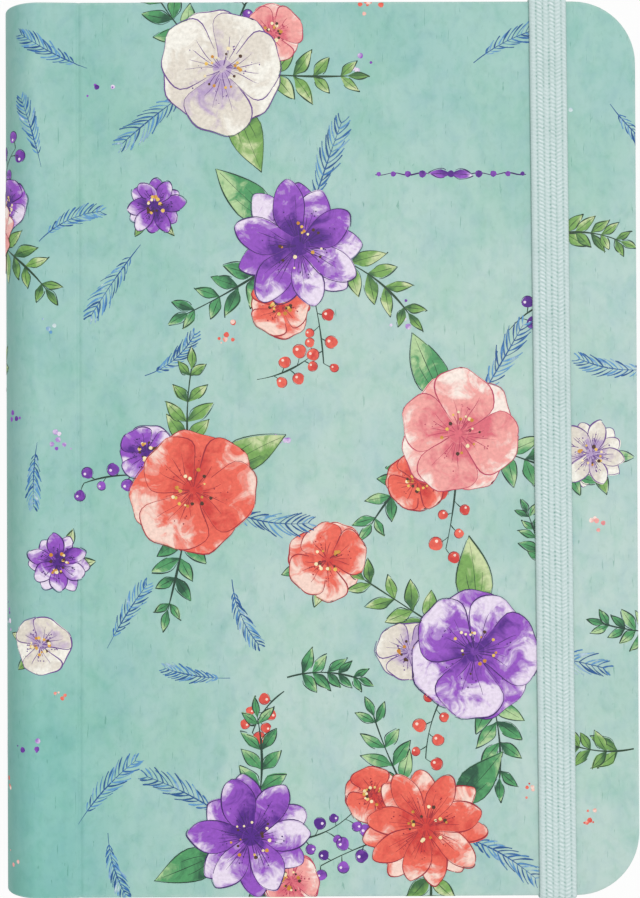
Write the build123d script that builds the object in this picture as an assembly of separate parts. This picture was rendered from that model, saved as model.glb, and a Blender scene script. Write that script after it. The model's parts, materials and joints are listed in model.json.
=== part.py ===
from build123d import *
import math
import os

# An address book lying on its back cover: +X to the fore edge, +Y to the head, +Z up.
# The origin is the middle of the footprint, on the surface that the book lies on.

# Cover sizes, in millimetres
book_width = 127.0
book_height = 178.0
corner_radius = 12.5
board_thickness = 1.9
wrap_thickness = 0.3
turn_in = 14.0
edge_rounding = 0.8
crease_from_spine = 16.0
crease_radius = 0.8
crease_depth = 0.3

# Spine sizes
stiffener_thickness = 0.8
stiffener_margin = 1.5  # degrees of arc past the edge of the lining
lining_thickness = 0.4
joint_slack = 0.985  # share of the flexible joint's length that is pulled straight when open

# Paper sizes
pastedown_thickness = 0.2
flyleaf_thickness = 0.2
section_thickness = 0.80
head_square = 2.75
fore_square = 3.0
page_corner_radius = 9.0
tab_depth = 6.0
tab_corner_radius = 2.5
tab_root_radius = 1.2
corner_share = 0.45  # most of a short page edge that one round corner may take
fold_taper = 3.6
fold_edge_share = 0.1  # thickness left at the fold, as a share of the section

# Sewing and bands
thread_radius = 0.15
thread_sides = 8  # a thread this thin needs no more
stitches_per_section = 2
stitch_length = 62.0
stitch_pitch = 82.0
band_radius = 0.9

# Elastic closure
elastic_width = 7.3
elastic_thickness = 1.0
elastic_edge_bevel = 0.3
elastic_from_fore_edge = 17.0
elastic_tail = 13.0
recess_clearance = 0.2

# Clearances between pieces
section_gap = 0.02
flyleaf_gap = 0.05
cover_gap = 0.15
seat_gap = 0.02
fold_gap = 0.05
elastic_gap = 0.08
pastedown_margin = 2.6
cut_overrun = 1.0  # how far a cut runs past the edge that it opens

# The index has one section of pages for each pair of letters.
letter_pairs = ["ab", "cd", "ef", "gh", "ij", "kl", "mn", "op", "qr", "st", "uv", "wx", "yz"]
section_count = len(letter_pairs)

# Heights through the closed book
shell_thickness = wrap_thickness + board_thickness
cover_thickness = shell_thickness + pastedown_thickness
section_pitch = section_thickness + section_gap
block_thickness = section_count * section_pitch - section_gap
leaf_stack = block_thickness + 2 * (flyleaf_gap + flyleaf_thickness)
book_thickness = leaf_stack + 2 * (cover_gap + cover_thickness)
middle_z = book_thickness / 2

# Places across the closed book
spine_x = -book_width / 2
fore_x = book_width / 2
spine_radius = book_thickness / 2
shoulder_x = spine_x + spine_radius  # where the round spine meets the flat covers
crease_x = spine_x + crease_from_spine
stiffener_inner_radius = spine_radius - wrap_thickness - stiffener_thickness
lining_half = block_thickness / 2
lining_chord = math.sqrt(stiffener_inner_radius**2 - lining_half**2) - seat_gap
lining_x = shoulder_x - lining_chord
fold_x = lining_x + lining_thickness + thread_radius + seat_gap  # the line that the pages turn on
page_x = fold_x + thread_radius + fold_gap
page_fore_x = fore_x - fore_square
page_half_height = book_height / 2 - head_square
tab_height = 2 * page_half_height / section_count
spine_half_angle = math.degrees(math.asin(lining_half / stiffener_inner_radius)) + stiffener_margin

# The cover hinges: each lies inside the round shoulder, so that an open book lies flat on its case.
joint_angle = math.radians(90 - spine_half_angle)
joint_length = joint_slack * spine_radius * joint_angle
joint_rise = spine_radius * (1 - math.sin(joint_angle))
joint_drop = spine_radius * (1 - math.cos(joint_angle))
joint_run = math.sqrt(joint_length**2 - joint_rise**2)
hinge_inset = (spine_radius + joint_drop - joint_run) / 2
hinge_x = spine_x + hinge_inset
back_hinge_z = hinge_inset
front_hinge_z = book_thickness - hinge_inset

# The elastic leaves the back cover through a recess under the pastedown.
elastic_x = fore_x - elastic_from_fore_edge
elastic_anchor_z = shell_thickness - elastic_thickness / 2
elastic_front_z = book_thickness + elastic_gap + elastic_thickness / 2
elastic_side_y = book_height / 2 + elastic_gap + elastic_thickness / 2


def section_z(index):
    """Middle height of a section of pages, the first one on top."""
    return middle_z + ((section_count - 1) / 2 - index) * section_pitch


def cover_outline(inset, left_x):
    """Plan of a cover, drawn in on its three free edges, with its two fore corners round."""
    right_x = fore_x - inset
    half = book_height / 2 - inset
    width = right_x - left_x
    plan = Pos((left_x + right_x) / 2, 0) * Rectangle(width, 2 * half)
    if inset >= corner_radius:
        return plan  # the round corner lies wholly inside the margin that was drawn in
    return fillet(plan.vertices().group_by(Axis.X)[-1], corner_radius - inset)


def round_outer_edge(slab, radius):
    """Rounds a cover slab's free edges on its lower face, which is the outside of the book."""
    rim = slab.faces().sort_by(Axis.Z)[0].edges()
    free = [edge for edge in rim if edge.center().X > slab.bounding_box().min.X + radius]
    return fillet(free, radius)


def crease(radius):
    """Long round tool that presses the hinge crease into the outside of a cover."""
    tool = Cylinder(radius, book_height + 2 * cut_overrun, rotation=(90, 0, 0))
    return Pos(crease_x, 0, crease_depth - crease_radius) * tool


def cover_board():
    """Greyboard of one cover, with a rebate for the turned-in edges of the wrap."""
    full = extrude(cover_outline(wrap_thickness, shoulder_x), board_thickness - wrap_thickness)
    full = round_outer_edge(full, edge_rounding - wrap_thickness)
    window = extrude(cover_outline(turn_in, shoulder_x), wrap_thickness)
    window = Pos(0, 0, board_thickness - wrap_thickness) * window
    board = Pos(0, 0, wrap_thickness) * (full + window)
    return board - crease(crease_radius + wrap_thickness)


def cover_shell():
    """Outer form of one cover, printed wrap and board together, under its pastedown."""
    shell = extrude(cover_outline(0, shoulder_x), shell_thickness)
    return round_outer_edge(shell, edge_rounding) - crease(crease_radius)


def elastic_recesses():
    """Room for both glued ends of the elastic, open at the head and tail of the back cover."""
    width = elastic_width + 2 * recess_clearance
    depth = elastic_thickness + recess_clearance
    recesses = []
    for side in (1, -1):
        length = elastic_tail + recess_clearance + cut_overrun
        y = side * (book_height / 2 + cut_overrun - length / 2)
        recess = Pos(elastic_x, y, shell_thickness - depth / 2) * Box(width, length, depth)
        recesses.append(recess)
    return recesses


def pastedown():
    """Endpaper leaf that is glued to the inside of one cover."""
    sheet = extrude(cover_outline(pastedown_margin, shoulder_x), pastedown_thickness)
    return Pos(0, 0, shell_thickness) * sheet


def to_front(solid):
    """The front cover is the back cover turned over about the middle of the book."""
    return mirror(solid, about=Plane.XY.offset(middle_z))


def spine_ring(outer, inner, first_angle, last_angle, length):
    """Part of a round strip that runs the length of the spine, between two angles above the -X line."""
    middle = (shoulder_x, middle_z)
    first, last = math.radians(first_angle), math.radians(last_angle)
    half = (first + last) / 2

    def at(radius, angle):
        return (middle[0] - radius * math.cos(angle), middle[1] + radius * math.sin(angle))

    outline = [
        ThreePointArc(at(outer, first), at(outer, half), at(outer, last)),
        Line(at(outer, last), at(inner, last)),
        ThreePointArc(at(inner, last), at(inner, half), at(inner, first)),
        Line(at(inner, first), at(outer, first)),
    ]
    profile = Plane.XZ * make_face(Curve() + outline)
    return extrude(profile, length / 2, both=True)


def spine_stiffener():
    """Curved card that keeps the spine round, with a rebate for the wrap at head and tail."""
    outer = spine_radius - wrap_thickness
    inner = stiffener_inner_radius
    rebate = inner + wrap_thickness
    angles = (-spine_half_angle, spine_half_angle)
    full = spine_ring(outer, rebate, *angles, book_height - 2 * wrap_thickness)
    return full + spine_ring(rebate, inner, *angles, book_height - 2 * turn_in)


def spine_wrap(stiffener):
    """Printed paper over the spine card, turned in at head and tail."""
    angles = (-spine_half_angle, spine_half_angle)
    return spine_ring(spine_radius, stiffener_inner_radius, *angles, book_height) - stiffener


def shoulder_wrap():
    """Flexible paper of the front joint, from the spine card to the flat of the cover, doubled at its ends."""
    inner = spine_radius - wrap_thickness
    angles = (spine_half_angle, 90)
    single = spine_ring(spine_radius, inner, *angles, book_height)
    doubled = spine_ring(inner, inner - wrap_thickness, *angles, book_height)
    doubled -= spine_ring(inner, inner - wrap_thickness, *angles, book_height - 2 * turn_in)
    return single + doubled


def spine_lining():
    """Cloth and paper glued flat across the folds of the pages, a chord of the round spine."""
    length = 2 * page_half_height + 2 * (2 * band_radius + seat_gap)
    strip = Box(lining_thickness, length, 2 * lining_half)
    return Pos(lining_x + lining_thickness / 2, 0, middle_z) * strip


def end_band(side):
    """Round woven band that covers the folds at the head (+1) or the tail (-1)."""
    x = lining_x + lining_thickness + band_radius + seat_gap
    y = side * (page_half_height + seat_gap + band_radius)
    bead = Cylinder(band_radius, block_thickness)
    return Pos(x, y, middle_z) * bead


def sewing_thread():
    """Runs of thread along the fold of each section, on the line that its pages turn on."""
    stitches = []
    for index in range(section_count):
        for place in range(stitches_per_section):
            y = (place - (stitches_per_section - 1) / 2) * stitch_pitch
            section = Plane.XZ * RegularPolygon(thread_radius, thread_sides)
            stitch = extrude(section, stitch_length / 2, both=True)
            stitches.append(Pos(fold_x, y, section_z(index)) * stitch)
    return Compound(children=stitches)


def leaf_outline(index, left_x):
    """Plan of the pages of one section: full width down to the end of its own index tab."""
    half = page_half_height
    step_y = half - (index + 1) * tab_height
    cut_x = page_fore_x - tab_depth
    if index == section_count - 1:
        plan = Pos((left_x + page_fore_x) / 2, 0) * Rectangle(page_fore_x - left_x, 2 * half)
        return fillet(plan.vertices().group_by(Axis.X)[-1], page_corner_radius)
    outline = [
        (left_x, -half), (cut_x, -half), (cut_x, step_y),
        (page_fore_x, step_y), (page_fore_x, half), (left_x, half),
    ]
    plan = make_face(Polyline(*outline, close=True))
    room = corner_share * (step_y + half)
    radii = {
        (cut_x, -half): min(page_corner_radius, room),
        (cut_x, step_y): min(tab_root_radius, room),
        (page_fore_x, step_y): tab_corner_radius,
        (page_fore_x, half): page_corner_radius,
    }
    for (x, y), radius in radii.items():
        corner = plan.vertices().sort_by_distance((x, y, 0))[0]
        plan = fillet(corner, radius)
    return plan


def page_section(index):
    """Folded pages of one pair of letters, thin at the fold so that sections can fan out."""
    slab = extrude(leaf_outline(index, page_x), section_thickness / 2, both=True)
    start = page_x - fold_x
    half, edge = section_thickness / 2, fold_edge_share * section_thickness / 2
    at_fold = edge + (half - edge) * start / fold_taper
    side = [
        (page_x, -at_fold), (fold_x + fold_taper, -half), (page_fore_x, -half),
        (page_fore_x, half), (fold_x + fold_taper, half), (page_x, at_fold),
    ]
    profile = Plane.XZ * make_face(Polyline(*side, close=True))
    tapered = slab & extrude(profile, book_height / 2, both=True)
    return Pos(0, 0, section_z(index)) * tapered


def flyleaf():
    """Free leaf of the back endpaper, tipped on to the last section past its fold."""
    sheet = extrude(leaf_outline(section_count - 1, fold_x + fold_taper), flyleaf_thickness)
    bottom = middle_z - block_thickness / 2 - flyleaf_gap - flyleaf_thickness
    return Pos(0, 0, bottom) * sheet


def elastic_profile():
    """Cross-section of the flat elastic, thinner at both edges."""
    flat = Rectangle(elastic_width, elastic_thickness)
    return chamfer(flat.vertices(), elastic_edge_bevel)


def elastic_band():
    """Elastic from its exit at the tail, over the front cover and down to its exit at the head."""
    exit_y = book_height / 2
    corners = [
        (-exit_y, elastic_anchor_z), (-elastic_side_y, elastic_anchor_z),
        (-elastic_side_y, elastic_front_z), (elastic_side_y, elastic_front_z),
        (elastic_side_y, elastic_anchor_z), (exit_y, elastic_anchor_z),
    ]
    exit_radius = (elastic_thickness + elastic_gap) / 2
    edge_radius = edge_rounding + elastic_gap + elastic_thickness / 2
    radii = [exit_radius, edge_radius, edge_radius, exit_radius]
    path = Plane.YZ.offset(elastic_x) * FilletPolyline(*corners, radius=radii)
    start = Plane(path @ 0, x_dir=(1, 0, 0), z_dir=path % 0)
    return sweep(start * elastic_profile(), path=path)


def elastic_ends():
    """The two ends of the elastic, glued in their recesses in the back cover."""
    ends = []
    for side in (1, -1):
        tail = extrude(Plane.XZ * elastic_profile(), -elastic_tail * side)
        ends.append(Pos(elastic_x, side * (book_height / 2 - elastic_tail), elastic_anchor_z) * tail)
    return Compound(children=ends)


def pieces():
    """Every piece of the book by its node name."""
    board, shell = cover_board(), cover_shell()
    wrap = shell - board
    back_board, back_wrap = board, wrap
    for recess in elastic_recesses():
        back_board = back_board - recess
        back_wrap = back_wrap - recess
    stiffener = spine_stiffener()
    shoulder = shoulder_wrap()
    made = {
        "front_board": to_front(board),
        "front_cover_wrap": to_front(wrap),
        "front_pastedown": to_front(pastedown()),
        "front_flyleaf": to_front(flyleaf()),
        "front_joint_wrap": shoulder,
        "back_board": back_board,
        "back_cover_wrap": back_wrap,
        "back_pastedown": pastedown(),
        "back_flyleaf": flyleaf(),
        "back_joint_wrap": to_front(shoulder),
        "spine_stiffener": stiffener,
        "spine_wrap": spine_wrap(stiffener),
        "spine_lining": spine_lining(),
        "head_band": end_band(1),
        "tail_band": end_band(-1),
        "sewing_thread": sewing_thread(),
        "elastic_band": elastic_band(),
        "elastic_ends": elastic_ends(),
    }
    for index, pair in enumerate(letter_pairs):
        made["pages_" + pair] = page_section(index)
    return made


def main():
    os.makedirs("parts", exist_ok=True)
    for name, solid in pieces().items():
        export_step(solid, os.path.join("parts", name + ".step"))


if __name__ == "__main__":
    main()
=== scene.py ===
import functools
import json
import math
import random

import bmesh
import bpy
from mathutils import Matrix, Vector, noise
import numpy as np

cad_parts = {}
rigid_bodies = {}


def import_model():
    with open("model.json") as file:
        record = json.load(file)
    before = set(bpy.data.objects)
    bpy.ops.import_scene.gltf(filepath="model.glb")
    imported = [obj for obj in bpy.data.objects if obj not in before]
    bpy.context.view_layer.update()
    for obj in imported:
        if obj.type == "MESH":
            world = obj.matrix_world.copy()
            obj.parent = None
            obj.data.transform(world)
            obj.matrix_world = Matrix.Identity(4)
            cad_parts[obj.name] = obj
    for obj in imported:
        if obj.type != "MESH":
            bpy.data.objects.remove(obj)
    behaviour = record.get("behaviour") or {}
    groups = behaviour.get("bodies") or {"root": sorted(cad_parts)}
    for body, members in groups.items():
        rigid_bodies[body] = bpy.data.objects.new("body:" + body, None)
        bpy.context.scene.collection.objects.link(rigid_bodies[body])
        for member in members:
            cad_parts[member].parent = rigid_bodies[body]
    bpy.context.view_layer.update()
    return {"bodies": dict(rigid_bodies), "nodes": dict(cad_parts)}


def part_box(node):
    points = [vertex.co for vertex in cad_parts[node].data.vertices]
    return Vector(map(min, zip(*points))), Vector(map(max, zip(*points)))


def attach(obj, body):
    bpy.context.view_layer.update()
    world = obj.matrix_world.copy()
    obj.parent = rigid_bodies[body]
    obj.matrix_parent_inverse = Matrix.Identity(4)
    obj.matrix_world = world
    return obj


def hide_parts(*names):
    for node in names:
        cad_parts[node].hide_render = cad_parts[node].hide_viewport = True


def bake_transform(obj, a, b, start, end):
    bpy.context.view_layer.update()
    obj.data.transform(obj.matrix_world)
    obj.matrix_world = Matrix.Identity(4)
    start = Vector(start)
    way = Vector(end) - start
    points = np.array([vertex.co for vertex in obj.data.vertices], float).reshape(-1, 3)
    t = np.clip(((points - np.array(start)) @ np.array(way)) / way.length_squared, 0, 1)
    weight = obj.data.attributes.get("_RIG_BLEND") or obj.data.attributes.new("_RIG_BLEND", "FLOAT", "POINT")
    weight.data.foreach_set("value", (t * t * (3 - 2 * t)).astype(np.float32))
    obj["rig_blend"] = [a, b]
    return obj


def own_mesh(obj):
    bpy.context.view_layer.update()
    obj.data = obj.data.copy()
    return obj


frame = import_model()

# An address book on its back cover, drawn in millimetres and turned to metres when a mesh is made.
mm = 0.001
quarterTurn = math.pi / 2
squareCorners = ((-1, -1), (1, -1), (1, 1), (-1, 1))


def nodeBox(node):
    low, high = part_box(node)
    return low / mm, high / mm


coverLow, coverHigh = nodeBox("front_cover_wrap")
topZ, halfHeight, foreX, shoulderX = coverHigh.z, coverHigh.y, coverHigh.x, coverLow.x
middleZ = spineRadius = topZ / 2  # the spine is half round, from one cover to the other
arcLength = spineRadius * quarterTurn  # from the middle of the spine to a shoulder
sheetReach = arcLength + foreX - shoulderX  # from the middle of the spine to the fore edge
sections = [name for name in frame["bodies"] if name.startswith("section_")]


def between(start, end, share):
    return start + (end - start) * share


def smooth(low, high, value):
    share = min(max((value - low) / (high - low), 0.0), 1.0)
    return share * share * (3 - 2 * share)


def linear(code):
    channels = [int(code[i:i + 2], 16) / 255 for i in (0, 2, 4)]
    return tuple(c / 12.92 if c <= 0.04045 else ((c + 0.055) / 1.055) ** 2.4 for c in channels) + (1.0,)


def addObject(name, data):
    holder = bpy.data.objects.new(name, data)
    bpy.context.scene.collection.objects.link(holder)
    return holder


def makePiece(name, points, faces, materials, uvs=None, values=None, picks=None, flat=False):
    # the values are numbers at each point, and the picks are the material of each face
    mesh = bpy.data.meshes.new(name)
    mesh.from_pydata([Vector(point) * mm for point in points], [], faces, shade_flat=flat)
    for material in materials:
        mesh.materials.append(material)
    if picks:
        mesh.polygons.foreach_set("material_index", picks)
    if uvs:
        layer = mesh.uv_layers.new(name="sheet")
        for loop in mesh.loops:
            layer.data[loop.index].uv = uvs[loop.vertex_index]
    for key, row in (values or {}).items():
        mesh.attributes.new(key, "FLOAT", "POINT").data.foreach_set("value", row)
    return addObject(name, mesh)


def ringFaces(rings, count):
    # quads between closed rings of points that are stored one after another
    faces = []
    for ring in range(rings - 1):
        for i in range(count):
            a, b = ring * count + i, ring * count + (i + 1) % count
            faces.append((a, b, b + count, a + count))
    return faces


def addNode(tree, kind, inputs=(), out=0, **settings):
    # inputs are values or links, by the names of the node's sockets or in their order
    node = tree.nodes.new("ShaderNode" + kind)
    for key, value in settings.items():
        setattr(node, key, value)
    for key, value in inputs.items() if isinstance(inputs, dict) else enumerate(inputs):
        if isinstance(value, bpy.types.NodeSocket):
            tree.links.new(value, node.inputs[key])
        else:
            node.inputs[key].default_value = value
    return node.outputs[out] if node.outputs else None


def newMaterial(name):
    material = bpy.data.materials.new(name)
    material.use_nodes = True
    material.node_tree.nodes.clear()
    return material, functools.partial(addNode, material.node_tree)


def finishMaterial(material, add, colour, layers, grain, relief, finish):
    # each layer is a share and a colour, laid over what is there,
    # and the relief is how strongly the grain shows, and its height in mm
    for share, code in layers:
        colour = add("Mix", {0: share, 6: colour, 7: linear(code)}, 2, data_type="RGBA")
    bump = add("Bump", {"Height": grain, "Strength": relief[0], "Distance": relief[1] * mm})
    shader = add("BsdfPrincipled", {"Base Color": colour, "Normal": bump, **finish})
    add("OutputMaterial", {"Surface": shader})
    return material


paperInk = {
    # the last colour here is painted shade for the round of the spine
    "deep": "8bc5bb", "pale": "bdd6cf", "worn": "c9dcd6", "spineShade": "528c84",
    # the ground pales towards the middle and the fore edge, and is deepest low by the spine:
    # 0 across or 1 up the sheet, where it starts and ends, and how much
    "spans": {"pales": (0, 20.0, 70.0, 0.58), "lower": (1, 88.0, 12.0, 1.0),
              "inner": (0, 34.0, 14.0, 0.45), "tail": (1, -20.0, -68.0, 1.0)},
    # the spine's painted shade fades in from 12 mm to 6 mm from the middle of the spine
    "paleness": 0.42, "spineShadeSpan": (12.0, 6.0, 0.0, 0.5), "rubbedSpan": (0.35, 0.65, 0.0, 0.3),
    # glazes over the ground: colour, size across and along, the span of the noise that shows,
    # and its strength
    "glazes": (
        ("eefaf3", 17.0, 22.0, 0.44, 0.66, 1.0), ("f1f8fc", 13.0, 19.0, 0.44, 0.66, 1.0),
        ("ebf8f3", 3.6, 4.8, 0.48, 0.68, 0.8), ("f4f7fb", 3.1, 4.2, 0.48, 0.68, 0.9),
        ("f4f7f5", 1.5, 1.9, 0.5, 0.7, 0.8), ("f5f9f7", 2.2, 34.0, 0.45, 0.7, 0.4),
        ("a9ccc2", 0.5, 4.2, 0.65, 0.72, 0.7), ("bccbc4", 0.6, 0.8, 0.72, 0.82, 0.9),
    ),
    "glazeShift": 13.7,  # so that no two glazes have the same clouds
    "fibreSize": 0.5,  # real fibres are finer, and would not show
}


def printedPaperMaterial():
    # Offset-printed, matt-laminated cover paper: a soft sheen over a mottled, brushed-looking ground.
    material, add = newMaterial("printed cover paper")
    sheet = add("UVMap", uv_map="sheet")
    sheetX, sheetY, _ = add("SeparateXYZ", (sheet,)).node.outputs
    across = add("Math", (sheetX,), operation="ABSOLUTE")
    shares = {}
    for name, (axis, start, end, most) in paperInk["spans"].items():
        shares[name] = add("MapRange", ((across, sheetY)[axis], start, end, 0.0, most),
                           interpolation_type="SMOOTHSTEP")
    paling = add("Math", (shares["pales"], shares["lower"], paperInk["paleness"]),
                 operation="MULTIPLY_ADD")
    deepening = add("Math", (shares["inner"], shares["tail"]), operation="MULTIPLY")
    paling = add("Math", (paling, deepening), operation="SUBTRACT")
    ground = add("Mix", {0: paling, 6: linear(paperInk["deep"]), 7: linear(paperInk["pale"])}, 2,
                 data_type="RGBA")
    for number, (code, wide, long, low, high, most) in enumerate(paperInk["glazes"]):
        spread = add("Mapping", {"Vector": sheet, "Location": (paperInk["glazeShift"] * number, 0.0, 0.0),
                                 "Scale": (1 / wide, 1 / long, 1.0)})
        cloud = add("TexNoise", {"Vector": spread, "Scale": 1.0, "Detail": 4.0, "Roughness": 0.58,
                                 "Distortion": 0.5})
        share = add("MapRange", (cloud, low, high, 0.0, most))
        ground = add("Mix", {0: share, 6: ground, 7: linear(code)}, 2, data_type="RGBA",
                     blend_type="MULTIPLY")
    # painted shade darkens the round of the spine, and hands rub the edges pale
    spineShade = add("MapRange", (across, *paperInk["spineShadeSpan"]))
    wear = add("Attribute", out="Fac", attribute_name="wear")
    rubbed = add("MapRange", (cloud, *paperInk["rubbedSpan"]))
    worn = add("Math", (wear, rubbed), operation="MULTIPLY")
    layers = ((spineShade, paperInk["spineShade"]), (worn, paperInk["worn"]))
    fibre = add("TexNoise", {"Vector": sheet, "Scale": 1 / paperInk["fibreSize"], "Detail": 3.0})
    rough = add("MapRange", (cloud, 0.0, 1.0, 0.46, 0.6))
    return finishMaterial(material, add, ground, layers, fibre, (0.1, 0.05),
                          {"Roughness": rough, "Specular IOR Level": 0.35})


penWash = -1.0  # a wash value that stands for the pen
inkLook = {
    "poolSize": 4.6, "grainSize": 0.7, "flow": 0.36,
    # the washes between which the ink thins to its middle and pale colours
    "toMiddle": (0.05, 0.4), "toPale": (0.54, 0.84),
    "tideAt": 0.66, "tideSpan": (0.06, 0.0, 0.0, 0.35), "edgeSpan": (0.5, 0.0, 0.0, 0.5),
    "grainSpan": (0.3, 0.7, 0.88, 1.1),
}


def inkMaterial(name, pen, deep, middle, pale):
    # Printed watercolour: pigment pools to hard tide lines, grains out, and thins to bare paper.
    material, add = newMaterial(name + " watercolour ink")
    sheet = add("UVMap", uv_map="sheet")
    wash, rim = [add("Attribute", out="Fac", attribute_name=key) for key in ("wash", "rim")]
    pool = add("TexNoise", {"Vector": sheet, "Scale": 1 / inkLook["poolSize"], "Detail": 4.0,
                            "Roughness": 0.6, "Distortion": 1.1})
    grain = add("TexNoise", {"Vector": sheet, "Scale": 1 / inkLook["grainSize"], "Detail": 4.0})
    flow = add("MapRange", (pool, 0.25, 0.75, -inkLook["flow"], inkLook["flow"]))
    thin = add("Math", (wash, flow), operation="ADD")
    fromTide = add("Math", (thin, inkLook["tideAt"]), operation="SUBTRACT")
    fromTide = add("Math", (fromTide,), operation="ABSOLUTE")
    toMiddle, toPale, tide, edge = [
        add("MapRange", (value, *inkLook[span])) for value, span in
        ((thin, "toMiddle"), (thin, "toPale"), (fromTide, "tideSpan"), (rim, "edgeSpan"))]
    penned = add("Math", (wash, penWash / 2), operation="LESS_THAN")
    colour = linear(deep)
    for share, code in ((toMiddle, middle), (toPale, pale), (tide, middle), (edge, middle), (penned, pen)):
        colour = add("Mix", {0: share, 6: colour, 7: linear(code)}, 2, data_type="RGBA")
    value = add("MapRange", (grain, *inkLook["grainSpan"]))
    colour = add("HueSaturation", {"Color": colour, "Value": value})
    return finishMaterial(material, add, colour, (), grain, (0.1, 0.05),
                          {"Roughness": 0.52, "Specular IOR Level": 0.35})


pageLook = {
    "cloudSize": 6.25,
    "fibreSize": 0.45,  # coarser than real fibres, so that they show
    "lineInk": "8fb3b8", "lineStrength": 0.6, "lineSpacing": 9.0, "lineWidth": 0.3,
    "lineRoom": ((-1.0, 49.0), (0.0, 74.0)),  # middle and reach of the ruling, across and up
}


def paperMaterial(name, base, shade, speck, ruled=False):
    # Uncoated, wood-free writing paper: dead matt, with a faint cloudy formation.
    material, add = newMaterial(name)
    place = add("VectorMath", {0: add("TexCoord", out="Object"), "Scale": 1 / mm}, operation="SCALE")
    cloud = add("TexNoise", {"Vector": place, "Scale": 1 / pageLook["cloudSize"], "Detail": 5.0,
                             "Roughness": 0.65})
    fibre = add("TexNoise", {"Vector": place, "Scale": 1 / pageLook["fibreSize"], "Detail": 3.0})
    clouding = add("MapRange", (cloud, 0.3, 0.7))
    flecks = add("MapRange", (fibre, 0.66, 0.8, 0.0, 0.35))
    layers = [(clouding, shade), (flecks, speck)]
    if ruled:
        parts = add("SeparateXYZ", (place,)).node.outputs
        halfSpace = pageLook["lineSpacing"] / 2
        shifted = add("Math", (parts[1], halfSpace), operation="ADD")
        phase = add("Math", (shifted, halfSpace), operation="PINGPONG")
        line = add("Math", (phase, pageLook["lineWidth"] / 2), operation="LESS_THAN")
        for part, (middle, reach) in zip(parts, pageLook["lineRoom"]):
            inside = add("Math", (part, middle, reach), operation="COMPARE")
            line = add("Math", (line, inside), operation="MULTIPLY")
        faint = add("Math", (line, pageLook["lineStrength"]), operation="MULTIPLY")
        layers.append((faint, pageLook["lineInk"]))
    return finishMaterial(material, add, linear(base), layers, fibre, (0.15, 0.04),
                          {"Roughness": 0.85, "Specular IOR Level": 0.25})


def boardMaterial(name, base, fleck, chip="5d564b", fibreSize=0.9, chipSize=1.4):
    # Pressed grey board from waste paper: flecked, fibrous and quite without shine.
    material, add = newMaterial(name)
    place = add("VectorMath", {0: add("TexCoord", out="Object"), "Scale": 1 / mm}, operation="SCALE")
    fibre = add("TexNoise", {"Vector": place, "Scale": 1 / fibreSize, "Detail": 6.0, "Roughness": 0.75})
    chips = add("TexVoronoi", {"Vector": place, "Scale": 1 / chipSize})
    pale = add("MapRange", (fibre, 0.35, 0.65))
    dark = add("MapRange", (chips, 0.12, 0.02, 0.0, 0.4))
    return finishMaterial(material, add, linear(base), ((pale, fleck), (dark, chip)), fibre, (0.3, 0.1),
                          {"Roughness": 0.9, "Specular IOR Level": 0.2})


def clothMaterial(name, thread, gap, spacing, fuzzSize=0.38):
    # Plain-woven cloth, glued flat: a grid of threads over darker gaps.
    material, add = newMaterial(name)
    place = add("VectorMath", {0: add("TexCoord", out="Object"), "Scale": 1 / mm}, operation="SCALE")
    waves = []
    for part in add("SeparateXYZ", (place,)).node.outputs[1:]:
        phase = add("Math", (part, math.pi / spacing), operation="MULTIPLY")
        wave = add("Math", (phase,), operation="SINE")
        waves.append(add("Math", (wave,), operation="ABSOLUTE"))
    weave = add("Math", waves, operation="MAXIMUM")
    fuzz = add("TexNoise", {"Vector": place, "Scale": 1 / fuzzSize, "Detail": 4.0})
    height = add("Math", (weave, fuzz), operation="MULTIPLY")
    share = add("MapRange", (height, 0.15, 0.55))
    return finishMaterial(material, add, linear(gap), ((share, thread),), height, (0.5, 0.1),
                          {"Roughness": 0.9, "Sheen Weight": 0.15})


def yarnMaterial(name, crown, gap, fuzzSize, soilSize=8.3):
    # Spun yarn: the relief attribute mixes the pale crown colour over the gap colour; on the braided elastic
    # that is a painted highlight on the crowns and painted shade where the yarns dive under each other.
    material, add = newMaterial(name)
    sheet = add("UVMap", uv_map="sheet")
    relief = add("Attribute", out="Fac", attribute_name="relief")
    fuzz = add("TexNoise", {"Vector": sheet, "Scale": 1 / fuzzSize, "Detail": 4.0, "Roughness": 0.7})
    soil = add("TexNoise", {"Vector": sheet, "Scale": 1 / soilSize, "Detail": 3.0})
    worked = add("MapRange", (fuzz, 0.25, 0.75, -0.16, 0.16))
    share = add("Math", (relief, worked), operation="ADD")
    dulled = add("MapRange", (soil, 0.5, 0.75, 0.0, 0.18))
    return finishMaterial(material, add, linear(gap), ((share, crown), (dulled, gap)), fuzz, (0.35, 0.06),
                          {"Roughness": 0.78, "Sheen Weight": 0.2, "Specular IOR Level": 0.3})


def threadMaterial(crown="f2ecdc", gap="c9bfa6", twist=0.52):
    # Waxed linen sewing thread: two plies twisted together, with a low waxy shine.
    material, add = newMaterial("waxed linen thread")
    place = add("VectorMath", {0: add("TexCoord", out="Object"), "Scale": 1 / mm}, operation="SCALE")
    scale = 2 * math.pi / 10 / twist  # a diagonal wave of scale 1 repeats every 2 pi / 10
    plies = add("TexWave", {"Vector": place, "Scale": scale, "Distortion": 1.5, "Detail": 2.0},
                bands_direction="DIAGONAL")
    return finishMaterial(material, add, linear(gap), ((plies, crown),), plies, (0.4, 0.05),
                          {"Roughness": 0.6})


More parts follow.
